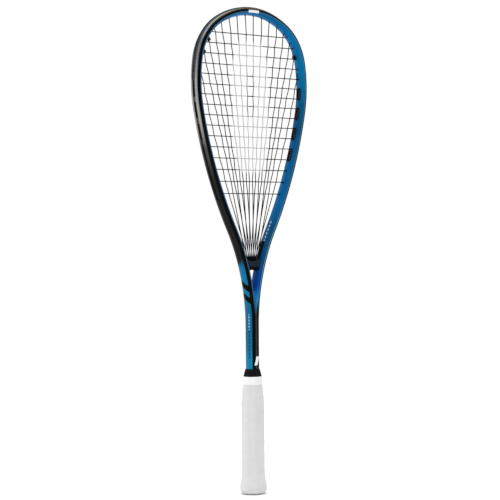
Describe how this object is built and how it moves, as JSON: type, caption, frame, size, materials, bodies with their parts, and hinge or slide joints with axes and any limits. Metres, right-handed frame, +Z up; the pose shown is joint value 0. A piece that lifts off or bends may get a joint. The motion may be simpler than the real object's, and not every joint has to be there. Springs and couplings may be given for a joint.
{
  "type": "squash racket",
  "caption": "Strung squash racket with an open-throat teardrop hoop, bumper strip, fanned main strings, octagonal wrapped handle and a sliding rubber collar.",
  "frame": {"origin": "bottom centre of the butt", "axes": "+Z up along the racket from butt to head, +X across the face to the right seen from the front, +Y from the front of the string bed to its back"},
  "size_m": [0.2118, 0.0346, 0.6849],
  "materials": {
    "frame_paint": "lacquered carbon, black with blue panels",
    "guard_plastic": "semi-matt moulded nylon",
    "grommet_plastic": "black nylon",
    "insert_plastic": "near-black navy nylon",
    "string": "black multifilament",
    "pallet_foam": "moulded foam",
    "cap_plastic": "white moulded",
    "staple_steel": "zinc plated wire",
    "grip_polyurethane": "soft white, slightly embossed",
    "white_tape": "smooth white vinyl",
    "collar_rubber": "smooth black"
  },
  "bodies": {
    "racket": {"frame": "frame_paint", "head_guard": "guard_plastic", "port_insert_left_1": "grommet_plastic", "port_insert_left_2": "grommet_plastic", "port_insert_left_3": "grommet_plastic", "port_insert_left_4": "grommet_plastic", "port_insert_right_1": "grommet_plastic", "port_insert_right_2": "grommet_plastic", "port_insert_right_3": "grommet_plastic", "port_insert_right_4": "grommet_plastic", "lower_grommet_strip_left": "grommet_plastic", "lower_grommet_strip_right": "grommet_plastic", "throat_insert": "insert_plastic", "main_string": "string", "cross_string": "string", "handle_pallet": "pallet_foam", "butt_cap": "cap_plastic", "butt_cap_staples": "staple_steel", "grip_start_staple": "staple_steel", "grip_tape": "grip_polyurethane", "finishing_tape": "white_tape"},
    "collar": {"collar": "collar_rubber"}
  },
  "joints": [
    {"name": "collar_slide", "type": "slide", "parent": "racket", "child": "collar", "axis": [0, 0, 1], "range_m": [0, 0.04]}
  ]
}
